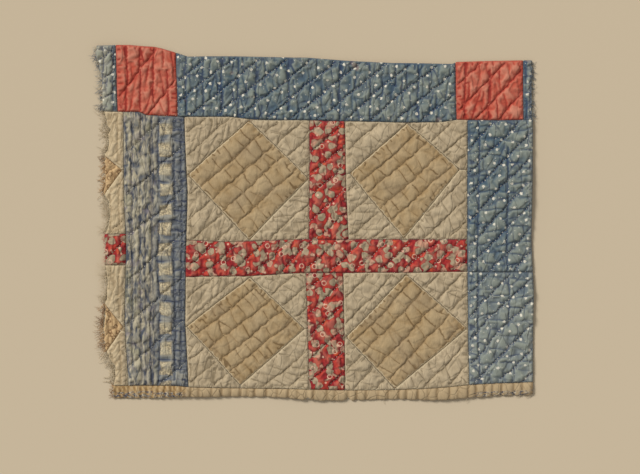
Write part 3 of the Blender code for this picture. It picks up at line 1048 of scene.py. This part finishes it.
def coral_red():
    """Plain coral cotton, with a painted salmon highlight on its puffs."""
    shader = Shader("coral_red")
    faded = shader.between(shader.noise(0.022, 3.0, distortion=0.6), 0.35, 0.7)
    colour = shader.mix(faded, (182, 78, 58), (192, 110, 88))
    return shader.finish(colour, (138, 34, 28), (206, 142, 118), (0.017, 0.036, -8), 0.95, 0.7, 0.5,
                         creased=(0.35, 0.85, 0.9))


def red_print():
    """Crimson cotton printed with grey-cream blobs, small rings and orange touches."""
    shader = Shader("red_print")
    red = shader.mix(shader.patches(0.009, 0.4, 0.6, detail=2.0), (150, 30, 36), (184, 58, 44))
    red = shader.mix(shader.patches(0.013, 0.62, 0.68, 0.7, 60, 1.5), red, (204, 84, 40))
    cream = shader.mix(shader.noise(0.005), (132, 124, 100), (184, 164, 134))
    cream = shader.mix(shader.patches(0.015, 0.52, 0.62, 0.6, 20, 1.0), cream, (200, 134, 112))
    lumps = shader.math("SUBTRACT", shader.noise(0.0120, 1.2, shader.warped(0.006, 0.012)), 0.03)
    flowers = shader.cells(0.0150, 0.7, shader.warped(0.008, 0.009))
    lumps = shader.most(lumps, shader.between(flowers, 0.16, 0.44, 0.68, 0.40))
    colour = shader.mix(shader.between(lumps, 0.525, 0.575), red, cream)
    outline = shader.within(lumps, 0.48, 0.53, 0.53, 0.58, 0.75)
    colour = shader.mix(outline, colour, (92, 22, 28))
    places = shader.cells(0.024, 0.9, shader.turned(31))
    rings = shader.within(places, 0.075, 0.095, 0.115, 0.14, 0.9)
    spots = shader.below(shader.cells(0.017, 1.0, shader.turned(66)), 0.06, 0.09, 0.85)
    colour = shader.mix(shader.most(rings, spots), colour, (218, 178, 152))
    return shader.finish(colour, (84, 20, 24), (204, 160, 132), (0.016, 0.022), 0.7, 0.22, 0.5)


def floral_stripe():
    """Grey-blue striped cotton: a mottled flowered band beside a slate one with cream blossoms."""
    shader = Shader("floral_stripe", 0.9)
    low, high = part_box("floral_strip")
    streaks = shader.noise(0.0045, 3.0, shader.stretched((1, 0.28, 1)), 0.8)
    left = shader.mix(shader.between(streaks, 0.36, 0.62), (76, 82, 92), (180, 170, 144))
    left = shader.mix(shader.patches(0.011, 0.55, 0.68, 0.55, detail=2.0), left, (128, 118, 128))
    olive = shader.noise(0.014, 2.0, shader.stretched((1, 0.6, 1), 40))
    left = shader.mix(shader.between(olive, 0.56, 0.68, 0, 0.5), left, (140, 136, 104))
    x, y, _ = shader.parts(shader.warped(0.009, 0.017))
    aside = shader.away(x, low[0] + 0.645 * (high[0] - low[0]))
    rise = shader.math("PINGPONG", shader.math("ADD", y, 0.4), BLOSSOM_GAP / 2)
    reach = shader.most(aside, rise)
    bands = shader.math("PINGPONG", shader.math("ADD", y, 0.402), BLOSSOM_GAP / 4)
    right = shader.mix(shader.noise(0.012), (86, 94, 106), (130, 132, 128))
    right = shader.mix(shader.below(bands, 0.0, 0.0016, 0.8), right, (44, 54, 84))
    petals = shader.patches(0.0022, 0.42, 0.6, detail=2.0)
    petals = shader.mix(petals, (150, 138, 114), (202, 186, 150))
    right = shader.mix(shader.below(reach, 0.0071, 0.0084), right, petals)
    edge = shader.within(reach, 0.0060, 0.0077, 0.0071, 0.0084, 0.55)
    right = shader.mix(edge, right, (64, 62, 70))
    share = shader.between(shader.parts(shader.warped(0.005, 0.03))[0], low[0], high[0])
    colour = shader.mix(shader.between(share, 0.40, 0.58), left, right)
    # Painted shade: dark lines down the folds at 0.26 and 0.42 of the strip's width.
    fold_shade = shader.most(shader.below(shader.away(share, 0.26), 0.0, 0.035, 0.7),
                          shader.below(shader.away(share, 0.42), 0.0, 0.04, 0.75))
    colour = shader.mix(fold_shade, colour, (52, 58, 76))
    return shader.finish(colour, (46, 51, 68), (170, 164, 144), (0.008, 0.030), 0.85, 0.5, 0.7)


def tan_cotton():
    """Plain tan cotton of the diamonds."""
    shader = Shader("tan_cotton")
    colour = shader.mix(shader.patches(0.028, 0.3, 0.7), (157, 131, 92), (172, 149, 113))
    greyed = shader.patches(0.040, 0.5, 0.68, 0.5, 12, 1.0)
    colour = shader.mix(greyed, colour, (142, 124, 98))
    return shader.finish(colour, (98, 74, 42), (179, 158, 122), (0.020, 0.020, 43), 0.78, 0.5, 0.2,
                         0.6, fine=0.6, creased=(0.42, 0.74, 0.9))


def cream_muslin():
    """Plain cream muslin of the blocks' corners, paler in the column that is cut through."""
    shader = Shader("cream_muslin")
    cut_column = shader.below(shader.parts(shader.cloth)[0], -0.2385, -0.2345, 0.65)
    colour = shader.mix(shader.patches(0.024, 0.3, 0.7), (162, 145, 117), (184, 166, 136))
    colour = shader.mix(cut_column, colour, (200, 180, 144))
    # Colour of the painted shade in its hollows, lighter in the cut column.
    shade_colour = shader.mix(cut_column, (96, 82, 58), (168, 144, 110))
    return shader.finish(colour, shade_colour, (194, 177, 147), (0.011, 0.017, 20), 0.7, 0.4, 0.45, 0.5,
                         fine=0.64, creased=(0.48, 0.8, 0.8))


def brown_print():
    """Golden brown cotton with small rings, of the cut diamonds at the left."""
    shader = Shader("brown_print")
    colour = shader.mix(shader.noise(0.006), (180, 146, 102), (212, 182, 136))
    places = shader.cells(0.0085, 0.8, shader.cloth)
    rings = shader.within(places, 0.16, 0.22, 0.28, 0.36, 0.75)
    colour = shader.mix(rings, colour, (104, 66, 36))
    return shader.finish(colour, (108, 76, 46), (206, 176, 132), (0.012, 0.014), 0.7, faint=0.4)


def binding_tan():
    """Tan cotton tape, worn to a dark blue print at its ends."""
    shader = Shader("binding_tan")
    x, y, _ = shader.parts(shader.cloth)
    left = shader.below(x, WORN_END - 0.012, WORN_END + 0.008)
    right = shader.between(x, 0.188, 0.212)
    colour = shader.mix(shader.noise(0.014), (156, 132, 97), (177, 155, 120))
    hatched = shader.wave(shader.turned(35), 60.0, 3.0)
    golden = shader.mix(hatched, (150, 112, 64), (184, 154, 104))
    colour = shader.mix(shader.times(left, 0.8), colour, golden)
    specks = shader.between(shader.noise(0.0028, 2.0, shader.stretched((0.5, 1, 1))), 0.46, 0.54)
    worn = shader.most(shader.times(left, shader.between(y, 0.0055, 0.0085)),
                       shader.times(right, shader.between(y, 0.0088, 0.0104, 0.0, 1.4)))
    flecks = shader.patches(0.0022, 0.5, 0.58, detail=1.0)
    flecks = shader.mix(flecks, (48, 60, 84), (178, 170, 150))
    colour = shader.mix(shader.times(specks, worn), colour, flecks)
    return shader.finish(colour, (104, 82, 52), (188, 167, 132), (0.010, 0.012), 0.8)


def plain(name, dark, light, shade_colour):
    """An undyed cloth, or a layer of fibre."""
    shader = Shader(name, 0.95)
    colour = shader.mix(shader.noise(0.012, 4.0), dark, light)
    return shader.finish(colour, shade_colour, light, (0.018, 0.018), 0.4)


def thread(name, dark, light):
    """Twisted cotton thread."""
    shader = Shader(name, 0.8, 0.2)
    place = shader.add("ShaderNodeTexCoord", {}).outputs["Object"]
    shader.paint(shader.mix(shader.between(shader.noise(1 / 90, 2.0, place), 0.38, 0.62), dark, light))
    shader.emboss((shader.wave(place, 350.0, 2.0, "DIAGONAL"), 0.4, 0.0001))
    return shader.material


# ---- studio


def make_floor():
    """Make the plain pale floor."""
    corners = [(FLOOR * x, FLOOR * y, 0) for x, y in ((-1, -1), (1, -1), (1, 1), (-1, 1))]
    floor = new_object("floor", corners, [(0, 1, 2, 3)])
    paper = Shader("floor_paper", 0.9, sheen=0.0, specular=0.1)
    grain = paper.add("ShaderNodeTexNoise", {"Scale": 3.0}).outputs["Fac"]
    paper.paint(paper.mix(grain, (196, 180, 154), (202, 188, 164)))
    floor.data.materials.append(paper.material)


def make_lights():
    """Light the section softly from everywhere, and lowish from the upper left to show its relief."""
    data = bpy.data.lights.new("key", "SUN")
    data.energy = KEY_ENERGY
    data.angle = math.radians(20)
    data.color = (1.0, 0.975, 0.94)
    key = bpy.data.objects.new("key", data)
    key.rotation_euler = Vector(KEY_FROM).to_track_quat("Z", "Y").to_euler()
    bpy.context.scene.collection.objects.link(key)
    world = bpy.data.worlds.new("studio")
    world.use_nodes = True
    background = world.node_tree.nodes["Background"]
    background.inputs["Color"].default_value = (1.0, 0.985, 0.96, 1)
    background.inputs["Strength"].default_value = FILL
    bpy.context.scene.world = world


def make_camera():
    """Look straight down at the section."""
    data = bpy.data.cameras.new("camera")
    data.lens = 100
    data.sensor_width = 36
    camera = bpy.data.objects.new("camera", data)
    camera.location = CAMERA
    bpy.context.scene.collection.objects.link(camera)
    bpy.context.scene.camera = camera


# ---- putting it together


def declare(node):
    """Read a patch's or layer's outline; nothing else is done with it."""
    outline = outline_of(node)


def main():
    """Build every piece."""
    make_camera()
    make_lights()
    make_floor()
    patches = build_patches()
    simulate(patches)
    clothes = {name: make_patch(name, patch) for name, patch in patches.items()}
    tree = evaluated_tree(clothes.values())
    batting = make_batting(tree)
    backing = make_backing()
    for colour, (fabrics, slot, dark, light) in STITCHES.items():
        routes = stitch_routes(patches, fabrics, tree)
        stitches = merged_tubes("quilting_stitches_" + colour, routes, STITCH_RADIUS)
        dress(stitches, thread(colour + "_thread", dark, light))
    bindings = {name: make_binding(name, seed) for seed, name in enumerate(BINDINGS)}
    materials = {make.__name__: make() for make in (indigo_dotted, coral_red, red_print, tan_cotton,
                                                    floral_stripe, cream_muslin, brown_print)}
    tape = binding_tan()
    wool = plain("batting_wool", (196, 184, 160), (216, 206, 186), (170, 156, 130))
    muslin = plain("backing_muslin", (176, 160, 130), (192, 178, 150), (140, 122, 92))
    dress(batting, wool)
    dress(backing, muslin)
    for made in bindings.values():
        dress(made, tape)
    for name, made in clothes.items():
        fabric = patches[name]["plan"]["fabric"]
        dress(made, materials[fabric])
    declare_all(clothes, bindings, make_fringes())


def declare_all(clothes, bindings, fringes):
    """Hide the CAD nodes of the patches, the batting, the backing and the binding, which the pieces
    replace.
    """
    for name, made in clothes.items():
        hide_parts(name)
        declare(name)
    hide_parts("batting")
    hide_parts("backing")
    declare("backing")
    for name, made in bindings.items():
        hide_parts(name)


def dress(made, material):
    """Give a piece its material and its body."""
    made.data.materials.append(material)
    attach(made, BODY)


def make_fringes():
    """Make the loose yarns along the raw edges. Returns the pieces by the patch they belong to."""
    yarns = {fabric: thread(name, dark, light) for name, (fabric, dark, light) in YARNS.items()}
    fringes = {}
    for name, (fabric, patches, *lie) in FRINGES.items():
        made = fray(name, patches, *lie)
        dress(made, yarns[fabric])
        fringes[patches[0]] = [made]
    threads = loose_threads("binding_threads_right")
    dress(threads, yarns["cream_muslin"])
    fringes["binding_right"] = [threads]
    return fringes


main()
bpy.context.scene.view_settings.view_transform = "Standard"
